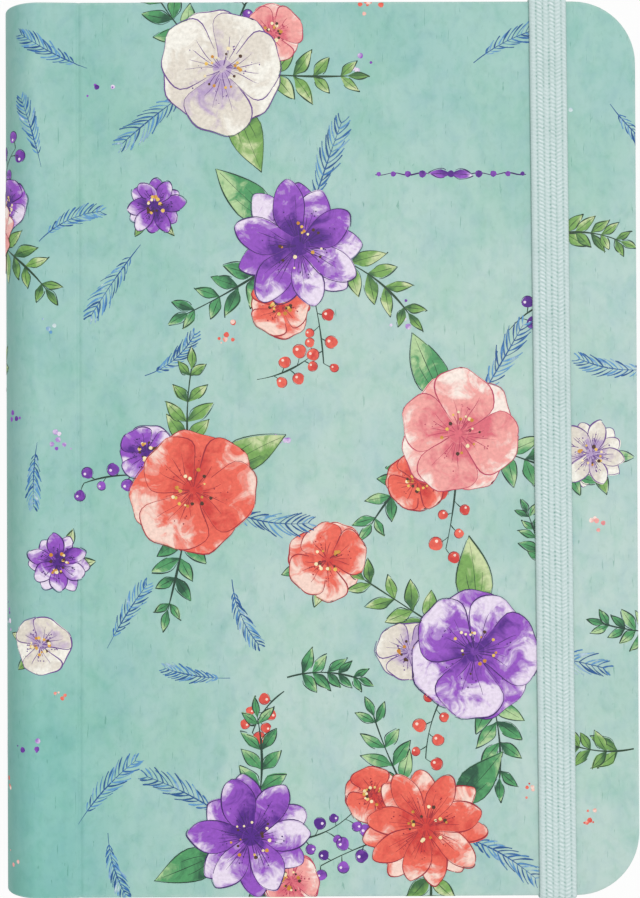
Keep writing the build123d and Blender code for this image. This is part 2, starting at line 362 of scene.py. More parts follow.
coverPaper = printedPaperMaterial()
pagePaper = paperMaterial("writing paper", "f3eee0", "ebe4d3", "d9cfba", ruled=True)
leafEdgePaper = paperMaterial("cut leaf edges", "efe9da", "ddd3bf", "c9bda4")
endPaper = paperMaterial("endpaper", "eee7d8", "e3dac7", "cdbfa5")
greyBoard = boardMaterial("grey binder's board", "a79e90", "8d8476")
spineCard = boardMaterial("spine card", "bdb19d", "a4977f")
mullCloth = clothMaterial("mull lining", "e9e2d0", "b8ad95", 0.9)
# the elastic's crown colour is a painted highlight, and its gap colour is painted shade in the holes and
# between the ribs, also what soiling dulls it towards
elasticYarn = yarnMaterial("braided elastic", "e6f2f3", "8db3ab", 0.35)
elasticBack = clothMaterial("flat elastic end", "cfdedc", "9fb7b2", 0.8)
bandCotton = yarnMaterial("head band cotton", "f0ece2", "b86a78", 0.3)
linenThread = threadMaterial()
print("materials made")


# The printed cover paper is two sheets that meet at the middle of the spine.

cover = {
    "cornerRadius": 12.5, "edgeRounding": 0.8, "innerRounding": 0.35,
    "thinRounding": 0.46, "thinReach": 9.0,  # the edge is thinner beside the spine
    "spineDepth": 1.1, "boardDepth": coverHigh.z - coverLow.z, "boardStart": (-0.2, 0.6),
    "turnIn": 9.0, "turnInSteps": (0.1, 0.4, 1.0), "paperThickness": 0.25,
    "creaseFromSpine": 16.0, "creaseDepth": 0.28, "creaseSpread": 0.42,
    "step": 4.0, "arcStep": 0.45, "creaseStep": 0.15, "cornerSteps": 14, "rows": 46,
    "joint": 1.6, "jointStep": 0.4, "hingeStep": 1.2,
}
cardAngle = math.acos((shoulderX - nodeBox("spine_wrap")[1].x) / (spineRadius - cover["spineDepth"]))
cardReach = spineRadius * cardAngle  # from the middle of the spine to the edge of its card
creaseAlong = arcLength - spineRadius + cover["creaseFromSpine"]
outerAngles = [quarterTurn * step / 5 for step in range(6)]
innerAngles = [quarterTurn * step / 4 for step in range(5)]


def sheetPoint(along, y, depth):
    # a place on the wrap: along from the middle of the spine, plus to the front cover, minus to the back
    side = 1 if along >= 0 else -1
    past = abs(along) - arcLength
    if past < 0:
        angle, reach = abs(along) / spineRadius, spineRadius - depth
        return (shoulderX - reach * math.cos(angle), y, middleZ + side * reach * math.sin(angle))
    dip = cover["creaseDepth"] * math.exp(-((abs(along) - creaseAlong) / cover["creaseSpread"]) ** 2)
    dip *= max(0.0, 1 - max(depth, 0.0) / cover["boardDepth"])
    return (shoulderX + past, y, middleZ + side * (spineRadius - depth - dip))


def evenSteps(start, end, step):
    count = max(1, round((end - start) / step))
    return [between(start, end, i / count) for i in range(count)]


creaseWidth = 8 * cover["creaseStep"]
jointEnd = arcLength + cover["joint"]
cornerStart = sheetReach - cover["cornerRadius"]
spineColumns = [0.0, 0.05] + evenSteps(0.4, arcLength, cover["arcStep"])
creaseColumns = evenSteps(creaseAlong - creaseWidth, creaseAlong + creaseWidth, cover["creaseStep"])
flatColumns = (evenSteps(arcLength, jointEnd, cover["jointStep"])
               + evenSteps(jointEnd, creaseColumns[0], cover["hingeStep"]) + creaseColumns
               + evenSteps(creaseAlong + creaseWidth, cornerStart, cover["step"]))


def depthAt(along):
    start, end = cover["boardStart"]
    toBoard = smooth(arcLength + start, arcLength + end, along)
    return between(cover["spineDepth"], cover["boardDepth"], toBoard)


def roundingAt(along):
    toBoard = smooth(arcLength, arcLength + cover["thinReach"], along)
    return between(cover["thinRounding"], cover["edgeRounding"], toBoard)


def edgeProfile(along):
    # round the outer edge, down the wall, round the inner edge, and in under the pastedown,
    # as how far out, how deep and how worn
    depth, outer, inner = depthAt(along), roundingAt(along), cover["innerRounding"]
    rows = [(outer * math.sin(angle), outer * (1 - math.cos(angle)), 1.0) for angle in outerAngles[1:]]
    for angle in innerAngles:
        rows.append((outer - inner * (1 - math.cos(angle)), depth - inner * (1 - math.sin(angle)), 0.5))
    for share in cover["turnInSteps"]:
        rows.append((outer - inner - share * cover["turnIn"], depth, 0.0))
    return rows


def coverSheet(name, side):
    columns = [(along, halfHeight - roundingAt(along), 0.0) for along in spineColumns + flatColumns]
    radius = cover["cornerRadius"] - cover["edgeRounding"]
    for step in range(cover["cornerSteps"] + 1):
        angle = quarterTurn * step / cover["cornerSteps"]
        columns.append((cornerStart + radius * math.sin(angle),
                        halfHeight - cover["cornerRadius"] + radius * math.cos(angle), angle))
    rows = cover["rows"]
    points, uvs, wear, faces = [], [], [], []

    def addPoint(along, y, depth, u, v, worn):
        points.append(sheetPoint(side * along, y, depth))
        uvs.append((side * u, v))
        wear.append(worn)
        return len(points) - 1

    grid = []
    for along, reach, _ in columns:
        places = [reach * (2 * row / rows - 1) for row in range(rows + 1)]
        grid.append([addPoint(along, y, 0.0, along, y, 0.0) for y in places])
    for first, second in zip(grid, grid[1:]):
        for row in range(rows):
            faces.append((first[row], second[row], second[row + 1], first[row + 1]))
    # the free boundary, from the head of the spine round the fore edge to the tail of the spine
    border = [(column[-1], along, reach, math.sin(angle), math.cos(angle))
              for column, (along, reach, angle) in zip(grid, columns)]
    foreAlong, foreReach, _ = columns[-1]
    for row in range(rows - 1, 0, -1):
        border.append((grid[-1][row], foreAlong, foreReach * (2 * row / rows - 1), 1.0, 0.0))
    border += [(column[0], along, -reach, math.sin(angle), -math.cos(angle))
               for column, (along, reach, angle) in reversed(list(zip(grid, columns)))]
    previous = [entry[0] for entry in border]
    profiles = [edgeProfile(entry[1]) for entry in border]
    lengths = [0.0] * len(border)
    last = [(0.0, 0.0)] * len(border)
    for ring in range(len(profiles[0])):
        current = []
        for i, (_, along, y, outX, outY) in enumerate(border):
            out, depth, worn = profiles[i][ring]
            lengths[i] += math.hypot(out - last[i][0], depth - last[i][1])
            last[i] = (out, depth)
            current.append(addPoint(along + outX * out, y + outY * out, depth,
                                    along + outX * lengths[i], y + outY * lengths[i], worn))
        for i in range(len(border) - 1):
            faces.append((previous[i], previous[i + 1], current[i + 1], current[i]))
        previous = current
    if side < 0:
        faces = [face[::-1] for face in faces]
    piece = makePiece(name, points, faces, [coverPaper], uvs, {"wear": wear})
    sheetThickness = piece.modifiers.new("paper thickness", "SOLIDIFY")
    sheetThickness.thickness = cover["paperThickness"] * mm
    sheetThickness.offset = -1
    return piece


def bendWithSpine(piece, side):
    # the paper turns between the edge of the spine card and the flat of the cover
    card = Vector(sheetPoint(side * cardReach, 0, 0)) * mm
    board = Vector((shoulderX, 0, topZ if side > 0 else 0)) * mm
    if side > 0:
        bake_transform(piece, "spine", "front_cover", start=card, end=board)
    else:
        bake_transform(piece, "back_cover", "spine", start=board, end=card)


frontSheet = coverSheet("front_cover_paper", 1)
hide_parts("front_cover_wrap", "front_joint_wrap", "spine_wrap")
backSheet = coverSheet("back_cover_paper", -1)
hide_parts("back_cover_wrap", "back_joint_wrap")
for piece, side in ((frontSheet, 1), (backSheet, -1)):
    bendWithSpine(piece, side)
print("cover paper laid")


# The print: tossed posies, sprigs and berries over the whole sheet, each wash laid over the one before.

inkCodes = {
    # pen, deep, middle and pale
    "violet": ("3a1762", "4f1b85", "9450c2", "ecdff2"),
    "coral": ("9c2433", "cf3a35", "ee6855", "fad9cb"),
    "rose": ("b8405e", "de6a78", "f4a6a0", "fcece2"),
    "cream": ("6b468f", "b79fc8", "e4dccf", "f7f4ea"),
    "leaf": ("1a392c", "22533c", "4f9a62", "b3d29b"),
    "moss": ("24412a", "37653c", "79a857", "ccdaa5"),
    "sky": ("22558f", "2c66a4", "6099c9", "d3e3e4"),
    "pollen": ("4a2c1a", "c9862c", "ebc05c", "f8e9bd"),
}
inks = {name: inkMaterial(name, *codes) for name, codes in inkCodes.items()}
inkOrder = list(inks)
greens, bloomInks = ("leaf", "moss"), ("violet", "coral", "rose", "cream")
toss = {
    "seed": 41, "tries": 500, "room": 0.86, "bleed": 1.0, "lift": 0.01, "washStep": 0.0004,
    "spineClear": 2.0, "headClear": 1.0, "ornamentX": 26.5, "ornamentY": 54.5, "ornamentReach": 17.0,
}
penWidths = {
    "outline": (0.2, 0.32), "vein": 0.16, "stamen": 0.18, "sprig": 0.5, "twig": 0.4, "stalk": 0.26,
    "berry": 0.2, "fern": 0.28, "frond": (0.22, 0.5), "rule": 0.34,
}
penSlip = (-0.2, 0.2)  # how far an outline strays from its wash
stemSteps = 14
rng = random.Random(toss["seed"])


def anyTurn():
    return rng.uniform(0, 6.28)


def newDrawing():
    bm = bmesh.new()
    floats = bm.verts.layers.float
    return {"mesh": bm, "wash": floats.new("wash"), "rim": floats.new("rim"), "layer": 0}


def addWash(art, ink, rows):
    # rows of (x, y, wash, rim) become one painted patch, above the patches before it
    art["layer"] += 1
    bm, grid = art["mesh"], []
    for row in rows:
        grid.append([bm.verts.new((x, y, art["layer"])) for x, y, _, _ in row])
        for corner, (_, _, wash, rim) in zip(grid[-1], row):
            corner[art["wash"]], corner[art["rim"]] = wash, rim
    for first, second in zip(grid, grid[1:]):
        for i in range(len(first) - 1):
            face = bm.faces.new((first[i], second[i], second[i + 1], first[i + 1]))
            face.material_index = inkOrder.index(ink)


def addStroke(art, ink, path, width, wash=penWash, tail=0.35):
    # a pen or brush line that swells and thins along its way
    rows, phase, last = [], anyTurn(), len(path) - 1
    for i, (x, y) in enumerate(path):
        before, after = path[max(i - 1, 0)], path[min(i + 1, last)]
        dx, dy = after[0] - before[0], after[1] - before[1]
        share = i / last
        swell = 0.72 + 0.28 * math.sin(phase + 7 * share)
        taper = between(tail, 1, math.sin(math.pi * min(max(share, 0.04), 0.96)) ** 0.5)
        half = width / 2 * swell * taper / (math.hypot(dx, dy) or 1.0)
        rows.append([(x + sign * dy * half, y - sign * dx * half, wash, 1.0) for sign in (1, -1)])
    addWash(art, ink, rows)


def addBlob(art, ink, x, y, radius, wash, sides=14):
    rows, phase = [], anyTurn()
    rings = ((0.02, 1.0), (1.0, 1.0)) if wash == penWash else ((0.02, 1.0), (0.84, 1.0), (1.0, 0.0))
    for share, rim in rings:
        row = []
        for i in range(sides + 1):
            angle = 2 * math.pi * i / sides
            reach = radius * share * (1 + 0.07 * math.sin(3 * angle + phase))
            row.append((x + reach * math.cos(angle), y + reach * math.sin(angle), wash, rim))
        rows.append(row)
    addWash(art, ink, rows)


def turned(x, y, angle, origin=(0.0, 0.0)):
    c, s = math.cos(angle), math.sin(angle)
    return origin[0] + x * c - y * s, origin[1] + x * s + y * c


def curvedPath(origin, angle, length, bend, count):
    path, x, y = [origin], *origin
    for _ in range(count):
        angle += bend / count
        x, y = x + length / count * math.cos(angle), y + length / count * math.sin(angle)
        path.append((x, y))
    return path


def headingAt(path, i):
    (x0, y0), (x1, y1) = path[i], path[i + 1]
    return math.atan2(y1 - y0, x1 - x0)


bladeShapes = {
    # the root's share of the width, where it is widest, how blunt it ends, its ruffle and its fullness
    "round": {"root": 0.2, "belly": 0.6, "end": 0.5, "ruffle": 0.03, "flare": 1.0},
    "slim": {"root": 0.36, "belly": 0.58, "end": 0.62, "ruffle": 0.01, "flare": 0.84},
    "leaf": {"root": 0.06, "belly": 0.4, "end": 1.15, "ruffle": 0.0, "flare": 1.0},
}


def sineSteps(count):
    return [math.sin(quarterTurn * step / count) for step in range(count + 1)]


bladeShares = sineSteps(14)
# how far along and across a wash has its points, coarser on a small leaf
smallBlade = 6.5
washGrids = {
    "large": (sineSteps(11), (-1.0, -0.92, -0.7, -0.35, 0.0, 0.35, 0.7, 0.92, 1.0)),
    "small": (sineSteps(7), (-1.0, -0.86, -0.4, 0.0, 0.4, 0.86, 1.0)),
}


def drawBlade(art, ink, origin, angle, length, width, kind, veins):
    # one petal or leaf: a wash that pales to its end, a loose pen outline, and veins
    shape = bladeShapes[kind]
    bend, phase = rng.uniform(-0.14, 0.14), anyTurn()
    tone, lean = rng.uniform(-0.25, 0.2), rng.choice((-0.16, 0.16))

    def place(u, v):
        past = max(0.0, (u - shape["belly"]) / (1 - shape["belly"]))
        spread = between(shape["root"], 1, smooth(0.0, shape["belly"], u))
        half = width / 2 * spread * (1 - past * past) ** shape["end"]
        y = half * v * (1 + 0.05 * math.sin(7 * u + phase + v))
        x = length * (u + shape["ruffle"] * past * math.sin(11 * y / width + phase))
        return turned(x, y + bend * length * u * u, angle, origin)

    shares, sides = washGrids["small" if length < smallBlade else "large"]
    rows = []
    for u in shares:
        rims = [min(1.0, (1 - abs(v)) / 0.16, (1 - u) / 0.1) for v in sides]
        washes = [0.1 + 0.72 * u + tone + lean * v for v in sides]
        rows.append([(*place(u, v), wash, rim) for v, wash, rim in zip(sides, washes, rims)])
    addWash(art, ink, rows)
    outline = [place(u, -1.0) for u in bladeShares] + [place(u, 1.0) for u in reversed(bladeShares[:-1])]
    cut = rng.randint(len(outline) // 3, 2 * len(outline) // 3)
    for part in (outline[rng.randint(0, 3):cut], outline[cut - 1:len(outline) - rng.randint(0, 3)]):
        slipX, slipY = rng.uniform(*penSlip), rng.uniform(*penSlip)
        addStroke(art, ink, [(x + slipX, y + slipY) for x, y in part], rng.uniform(*penWidths["outline"]))
    for v, end in veins:
        path = [place(0.08 + end * step / 6, v * (0.3 + 0.7 * step / 6)) for step in range(7)]
        addStroke(art, ink, path, penWidths["vein"], tail=0.1)


def drawBloom(art, ink, origin, radius, petals, kind):
    turn = anyTurn()
    width = 2.6 * radius * math.sin(math.pi / petals) * bladeShapes[kind]["flare"]
    for petal in list(range(0, petals, 2)) + list(range(1, petals, 2)):
        angle = turn + 2 * math.pi * petal / petals + rng.uniform(-0.07, 0.07)
        veins = [(v, rng.uniform(0.3, 0.62)) for v in (-0.5, -0.2, 0.1, 0.4)]
        length = radius * rng.uniform(0.9, 1.06)
        drawBlade(art, ink, origin, angle, length, width * rng.uniform(0.92, 1.06), kind, veins)
        for _ in range(5):
            along, aside = radius * rng.uniform(0.32, 0.6), radius * rng.uniform(-0.12, 0.12)
            spot = turned(along, aside, angle, origin)
            addBlob(art, ink, *spot, rng.uniform(0.1, 0.18), penWash, sides=6)
    addBlob(art, ink, *origin, radius * 0.16, 0.0)
    for _ in range(17):
        angle = anyTurn()
        start = turned(radius * 0.06, 0.0, angle, origin)
        stamen = curvedPath(start, angle, radius * rng.uniform(0.12, 0.3), rng.uniform(-0.5, 0.5), 4)
        addStroke(art, ink, stamen, penWidths["stamen"])
        size = rng.uniform(0.22, 0.42)
        addBlob(art, "pollen", *stamen[-1], size, rng.choice((penWash, 0.1, 0.5, 0.9)), sides=8)


def drawSprig(art, ink, origin, angle, length, pairs):
    path = curvedPath(origin, angle, length, rng.uniform(-0.7, 0.7), stemSteps)
    vein = [(0.0, 0.75)]
    for pair in range(pairs):
        share = 0.25 + 0.68 * pair / max(pairs - 1, 1)
        i = min(int(share * stemSteps), stemSteps - 1)
        heading, size = headingAt(path, i), length * 0.4 * (1.1 - 0.55 * share)
        for side in (1, -1):
            angle = heading + side * rng.uniform(0.65, 0.95)
            drawBlade(art, ink, path[i], angle, size * rng.uniform(0.85, 1.1), size * 0.42, "leaf", vein)
    drawBlade(art, ink, path[-1], heading, length * 0.24, length * 0.09, "leaf", vein)
    addStroke(art, ink, path, penWidths["sprig"])


def drawTwig(art, ink, origin, angle, length, berries):
    path = curvedPath(origin, angle, length, rng.uniform(-0.9, 0.9), stemSteps)
    addStroke(art, "leaf", path, penWidths["twig"])
    for berry in range(berries):
        i = min(int((0.3 + 0.7 * berry / (berries - 1)) * stemSteps), stemSteps)
        side = 1 if berry % 2 else -1
        heading = headingAt(path, i - 1) + side * rng.uniform(0.5, 1.0)
        stalk = curvedPath(path[i], heading, rng.uniform(1.6, 3.0), side * 0.5, 4)
        addStroke(art, "leaf", stalk, penWidths["stalk"])
        radius = rng.uniform(0.8, 1.35)
        x, y = stalk[-1]
        addBlob(art, ink, x, y, radius, rng.uniform(0.05, 0.4))
        # a bare glint, and an open ring of pen
        addBlob(art, ink, x - 0.3 * radius, y + 0.35 * radius, 0.25 * radius, 1.5, sides=8)
        start = anyTurn()
        ring = [turned(radius * 1.06, 0, start + 0.42 * step, (x, y)) for step in range(11)]
        addStroke(art, ink, ring, penWidths["berry"])


def drawFern(art, ink, origin, angle, length):
    path = curvedPath(origin, angle, length, rng.uniform(-0.8, 0.8), 16)
    addStroke(art, ink, path, penWidths["fern"])
    for i in range(3, 17):
        heading = headingAt(path, i - 1)
        size = length * 0.24 * math.sin(math.pi * (i - 1) / 17) ** 0.8
        for side in (1, -1):
            frond = curvedPath(path[i], heading + side * rng.uniform(0.7, 0.95), size, -side * 0.5, 5)
            width, wash = rng.uniform(*penWidths["frond"]), rng.choice((penWash, 0.1, 0.5))
            addStroke(art, ink, frond, width, wash)


def drawPosy(art, radius):
    turn = anyTurn()
    leafInks = [rng.choice(greens) for _ in range(2)]
    for i in range(5):
        angle = turn + 1.257 * i + rng.uniform(-0.3, 0.3)  # about a fifth of a turn each
        start = turned(radius * 0.3, 0, angle)
        if i in (0, 2):
            drawSprig(art, leafInks[i // 2], start, angle, radius * 0.95, 4)
        elif i == 1:
            drawTwig(art, rng.choice(("coral", "violet")), start, angle, radius * 0.85, 6)
        elif i == 3:
            drawFern(art, "sky", start, angle, radius * 0.95)
        else:
            drawBlade(art, leafInks[0], start, angle, radius * 0.8, radius * 0.34, "leaf",
                      [(0.0, 0.85), (0.5, 0.5), (-0.5, 0.5)])
    colours = rng.sample(("violet", "coral", "rose", "cream", "violet", "coral"), 2)
    kind = rng.choice(("round", "round", "slim"))
    side = turned(radius * 0.62, 0, turn + rng.uniform(0.4, 0.8))
    drawBloom(art, colours[1], side, radius * 0.3, 6, "round")
    petals = rng.randint(7, 9) if kind == "round" else rng.randint(12, 15)
    drawBloom(art, colours[0], (0.0, 0.0), radius * 0.62, petals, kind)


def looseBloom(art, reach):
    kind = rng.choice(("round", "slim"))
    petals = rng.randint(5, 7) if kind == "round" else rng.randint(10, 13)
    for angle in (2.6, 3.7):
        ink, start = rng.choice(greens), turned(reach * 0.4, 0, angle)
        drawBlade(art, ink, start, angle, reach * 0.6, reach * 0.26, "leaf", [(0.0, 0.8)])
    drawBloom(art, rng.choice(bloomInks), (0.0, 0.0), reach * 0.8, petals, kind)


def looseSprig(art, reach):
    drawSprig(art, rng.choice(greens), (-reach * 0.8, 0.0), 0.0, reach * 1.4, 5)


def looseTwig(art, reach):
    drawTwig(art, rng.choice(("coral", "coral", "violet")), (-reach * 0.8, 0.0), 0.0, reach * 1.5, 6)


def looseFern(art, reach):
    drawFern(art, "sky", (-reach * 0.9, 0.0), 0.0, reach * 1.75)


def looseDrops(art, reach):
    ink = rng.choice(("coral", "violet", "rose", "sky"))
    for _ in range(rng.randint(3, 7)):
        x, y = turned(rng.uniform(0, reach), 0, anyTurn())
        addBlob(art, ink, x, y, rng.uniform(0.16, 0.6), rng.uniform(0.1, 0.9), sides=9)


def drawOrnament(art):
    # a small divider: beads on a fine rule, growing to a pair of leaves in the middle
    for side in (-1, 1):
        rule = [(side * (4.2 + 0.9 * i), 0.25 * math.sin(i)) for i in range(13)]
        addStroke(art, "violet", rule, penWidths["rule"])
        drawBlade(art, "violet", (0.0, 0.0), quarterTurn * (1 - side), 4.4, 1.9, "leaf", [(0.0, 0.8)])
        for i in range(4):
            addBlob(art, "violet", side * (5.6 + 2.9 * i), 0.0, 0.75 - 0.1 * i, 0.2, sides=8)
    addBlob(art, "violet", 0.0, 0.0, 0.7, 0.0)


inkSheets = {}
for side in (1, -1):
    inkSheets[side] = {key: [] for key in ("points", "faces", "uvs", "wash", "rim", "inks")}
sheetLimits = ((0, sheetReach), (1, halfHeight))
edgeStart = cover["edgeRounding"]
# the print is cut where the sheet bends, and trimmed a little way down the walls
foldLines = [(0, 0.0)]
for column in spineColumns[1:] + creaseColumns + [arcLength]:
    foldLines += [(0, column), (0, -column)]
for sign in (1, -1):
    for axis, limit in sheetLimits:
        foldLines += [(axis, sign * (limit - edgeStart + edgeStart * angle)) for angle in outerAngles]
trimLines = [(axis, sign * (limit + toss["bleed"])) for axis, limit in sheetLimits for sign in (1, -1)]
taken = [(arcLength - shoulderX + toss["ornamentX"], toss["ornamentY"], toss["ornamentReach"])]


def overEdge(distance, limit, rounding, lift):
    # past the start of the rounded edge the print goes round it and down the wall
    past = abs(distance) - (limit - rounding)
    if past <= 0:
        return distance, -lift
    angle = min(past / rounding, quarterTurn)
    down = max(0.0, past - rounding * quarterTurn)
    out = limit - rounding + (rounding + lift) * math.sin(angle)
    return math.copysign(out, distance), rounding - (rounding + lift) * math.cos(angle) + down


def inkPoint(u, v, lift):
    along, depth = overEdge(u, sheetReach, edgeStart, lift)
    y, depthY = overEdge(v, halfHeight, roundingAt(abs(u)), lift)
    return sheetPoint(along, y, max(depth, depthY))


def layOnSheet(art, u, v, turn):
    bm = art["mesh"]
    shift = len(taken) % 3 / 3  # neighbours that overlap lie at other heights
    reach = max(corner.co.xy.length for corner in bm.verts)
    for corner in bm.verts:
        corner.co.xy = turned(*corner.co.xy, turn, (u, v))
    for lines, trims in ((trimLines, True), (foldLines, False)):
        for axis, value in lines:
            if abs((u, v)[axis] - value) > reach:
                continue
            spot, normal = Vector(), Vector()
            spot[axis], normal[axis] = value, math.copysign(1.0, value)
            bmesh.ops.bisect_plane(bm, geom=bm.verts[:] + bm.edges[:] + bm.faces[:], dist=1e-5,
                                   plane_co=spot, plane_no=normal, clear_outer=trims)
    for face in bm.faces:
        side = 1 if face.calc_center_median().x >= 0 else -1
        store = inkSheets[side]
        first = len(store["points"])
        for corner in face.verts:
            x, y, layer = corner.co
            x = max(x, 0.0) if side > 0 else min(x, -1e-6)
            store["points"].append(inkPoint(x, y, toss["lift"] + (layer + shift) * toss["washStep"]))
            store["uvs"].append((x, y))
            for key in ("wash", "rim"):
                store[key].append(corner[art[key]])
        store["faces"].append(tuple(range(first, first + len(face.verts))))
        store["inks"].append(face.material_index)
    bm.free()


def freeSpot(reach):
    for _ in range(toss["tries"]):
        u, v = rng.uniform(-sheetReach, sheetReach), rng.uniform(-halfHeight, halfHeight)
        nearCorner = (abs(u) + reach > sheetReach - cover["cornerRadius"]
                      and abs(v) + reach > halfHeight - cover["cornerRadius"])
        onSpineEnd = (abs(u) - reach < arcLength + toss["spineClear"]
                      and abs(v) + reach > halfHeight - toss["headClear"])
        if nearCorner or onSpineEnd:
            continue
        if all(math.hypot(u - x, v - y) > toss["room"] * (reach + other) for x, y, other in taken):
            taken.append((u, v, reach))
            return u, v
    return None


def scatter(count, reaches, draw):
    laid = 0
    for _ in range(count):
        reach = rng.uniform(*reaches)
        spot = freeSpot(reach)
        if spot is None:
            continue
        art = newDrawing()
        draw(art, reach)
        layOnSheet(art, *spot, anyTurn())
        laid += 1
    return laid


# how many of each are tried, and how far each reaches from its middle
motifs = {
    "posies": (15, (18.0, 21.0), drawPosy), "blooms": (14, (7.0, 10.0), looseBloom),
    "sprigs": (12, (8.0, 11.0), looseSprig), "ferns": (26, (7.0, 10.0), looseFern),
    "twigs": (8, (6.5, 8.5), looseTwig), "drops": (44, (2.0, 3.4), looseDrops),
}
laid = {name: scatter(*plan) for name, plan in motifs.items()}
ornament = newDrawing()
drawOrnament(ornament)
layOnSheet(ornament, *taken[0][:2], 0.0)
for side, name in ((1, "front_print"), (-1, "back_print")):
    store = inkSheets[side]
    piece = makePiece(name, store["points"], store["faces"], inks.values(), store["uvs"],
                      {"wash": store["wash"], "rim": store["rim"]}, store["inks"])
    bm = bmesh.new()
    bm.from_mesh(piece.data)
    bmesh.ops.remove_doubles(bm, verts=bm.verts[:], dist=1e-7)
    bm.to_mesh(piece.data)
    bm.free()
    bendWithSpine(piece, side)
    print(name, len(piece.data.polygons), "faces")
print("print laid:", laid)


pages = {
    "tabDepth": 6.0, "cornerRadius": 9.0, "tabCorner": 2.5, "tabRoot": 1.2, "cornerShare": 0.45,
    "arcSteps": 7, "foldTaper": 3.4, "foldShare": 0.15,
    "leaves": 6,  # about eight thinner leaves in a real section
    "seed": 5, "stray": 0.16, "groove": 0.1, "grooveShare": 0.08,
    "tabInks": ("leaf", "coral", "violet", "sky"), "tabWash": 0.78, "tabMargin": 0.5, "tabGap": 0.7,
    "tintCorner": 1.8, "tintSteps": 6, "tintLift": 0.006, "letterSize": 3.6, "letterLift": 0.011,
}
pageRng = random.Random(pages["seed"])
pageLow, pageHigh = nodeBox("pages_yz")
foldX, pageForeX, pageHalf = pageLow.x, pageHigh.x, pageHigh.y
cutX = pageForeX - pages["tabDepth"]
tabHeight = 2 * pageHalf / len(sections)


def roundedOutline(corners):
    # corners are (x, y, radius), anticlockwise and square to each other
    outline = []
    for i, (x, y, radius) in enumerate(corners):
        if radius == 0:
            outline.append((x, y))
            continue
        ways = []
        for other in (corners[i - 1], corners[(i + 1) % len(corners)]):
            dx, dy = other[0] - x, other[1] - y
            size = math.hypot(dx, dy)
            ways.append((dx / size * radius, dy / size * radius))
        (ax, ay), (bx, by) = ways
        for step in range(pages["arcSteps"] + 1):
            angle = quarterTurn * step / pages["arcSteps"]
            c, s = 1 - math.cos(angle), 1 - math.sin(angle)
            outline.append((x + ax * s + bx * c, y + ay * s + by * c))
    return outline


def leafOutline(index):
    taperX, stepY = foldX + pages["foldTaper"], pageHalf - (index + 1) * tabHeight
    room = pages["cornerShare"] * (stepY + pageHalf)
    corners = [(foldX, -pageHalf, 0), (taperX, -pageHalf, 0)]
    if index == len(sections) - 1:
        corners += [(pageForeX, -pageHalf, pages["cornerRadius"])]
    else:
        corners += [(cutX, -pageHalf, min(pages["cornerRadius"], room)),
                    (cutX, stepY, min(pages["tabRoot"], room)), (pageForeX, stepY, pages["tabCorner"])]
    corners += [(pageForeX, pageHalf, pages["cornerRadius"]), (taperX, pageHalf, 0), (foldX, pageHalf, 0)]
    return roundedOutline(corners)


def pageSection(index, node):
    low, high = nodeBox(node)
    half, middle = (high.z - low.z) / 2, (high.z + low.z) / 2
    outline = leafOutline(index)
    count = len(outline)
    outward = []
    for i in range(count):
        (x0, y0), (x1, y1) = outline[i - 1], outline[(i + 1) % count]
        size = math.hypot(x1 - x0, y1 - y0)
        outward.append(((y1 - y0) / size, (x0 - x1) / size))
    # each leaf's edge strays a little, with a groove before the next
    loops, leaf = [], 2 * half / pages["leaves"]
    for k in range(pages["leaves"]):
        inset = pageRng.uniform(0, pages["stray"])
        base = -half + k * leaf
        if k:
            loops.append((base, pages["stray"] + pages["groove"]))
        loops += [(base + pages["grooveShare"] * leaf if k else base, inset),
                  (base + (1 - pages["grooveShare"]) * leaf if k < pages["leaves"] - 1 else half, inset)]
    points = []
    for level, inset in loops:
        for (x, y), (nx, ny) in zip(outline, outward):
            taper = min(1.0, between(pages["foldShare"], 1, (x - foldX) / pages["foldTaper"]))
            pull = 0.0 if x == foldX else inset
            points.append((x - nx * pull, y - ny * pull, middle + level * taper))
    faces = ringFaces(len(loops), count)
    walls = len(faces)
    lower, upper = list(range(count)), list(range(len(points) - count, len(points)))
    faces += [(upper[0], upper[1], upper[-2], upper[-1]), tuple(upper[1:-1]),
              (lower[-1], lower[-2], lower[1], lower[0]), tuple(reversed(lower[1:-1]))]
    picks = [1] * walls + [0] * (len(faces) - walls)
    papers = [pagePaper, leafEdgePaper]
    return makePiece("leaves_" + node[-2:], points, faces, papers, picks=picks, flat=True)


def letterMesh(text, size):
    curve = bpy.data.curves.new("letters", "FONT")
    curve.body, curve.size, curve.align_x, curve.align_y = text, size, "CENTER", "CENTER"
    curve.resolution_u = 3
    holder = addObject("letters", curve)
    bpy.context.view_layer.update()
    mesh = bpy.data.meshes.new_from_object(holder.evaluated_get(bpy.context.evaluated_depsgraph_get()))
    points = [tuple(vertex.co) for vertex in mesh.vertices]
    faces = [tuple(polygon.vertices) for polygon in mesh.polygons]
    bpy.data.objects.remove(holder)
    bpy.data.meshes.remove(mesh)
    bpy.data.curves.remove(curve)
    return points, faces


def insideCorner(x, y):
    # the first and last tabs keep clear of the round corners of the page
    centreX, centreY = pageForeX - pages["cornerRadius"], pageHalf - pages["cornerRadius"]
    dx, dy = x - centreX, abs(y) - centreY
    far, limit = math.hypot(dx, dy), pages["cornerRadius"] - pages["tabMargin"]
    if dx < 0 or dy < 0 or far < limit:
        return x, y
    return centreX + dx * limit / far, math.copysign(centreY + dy * limit / far, y)


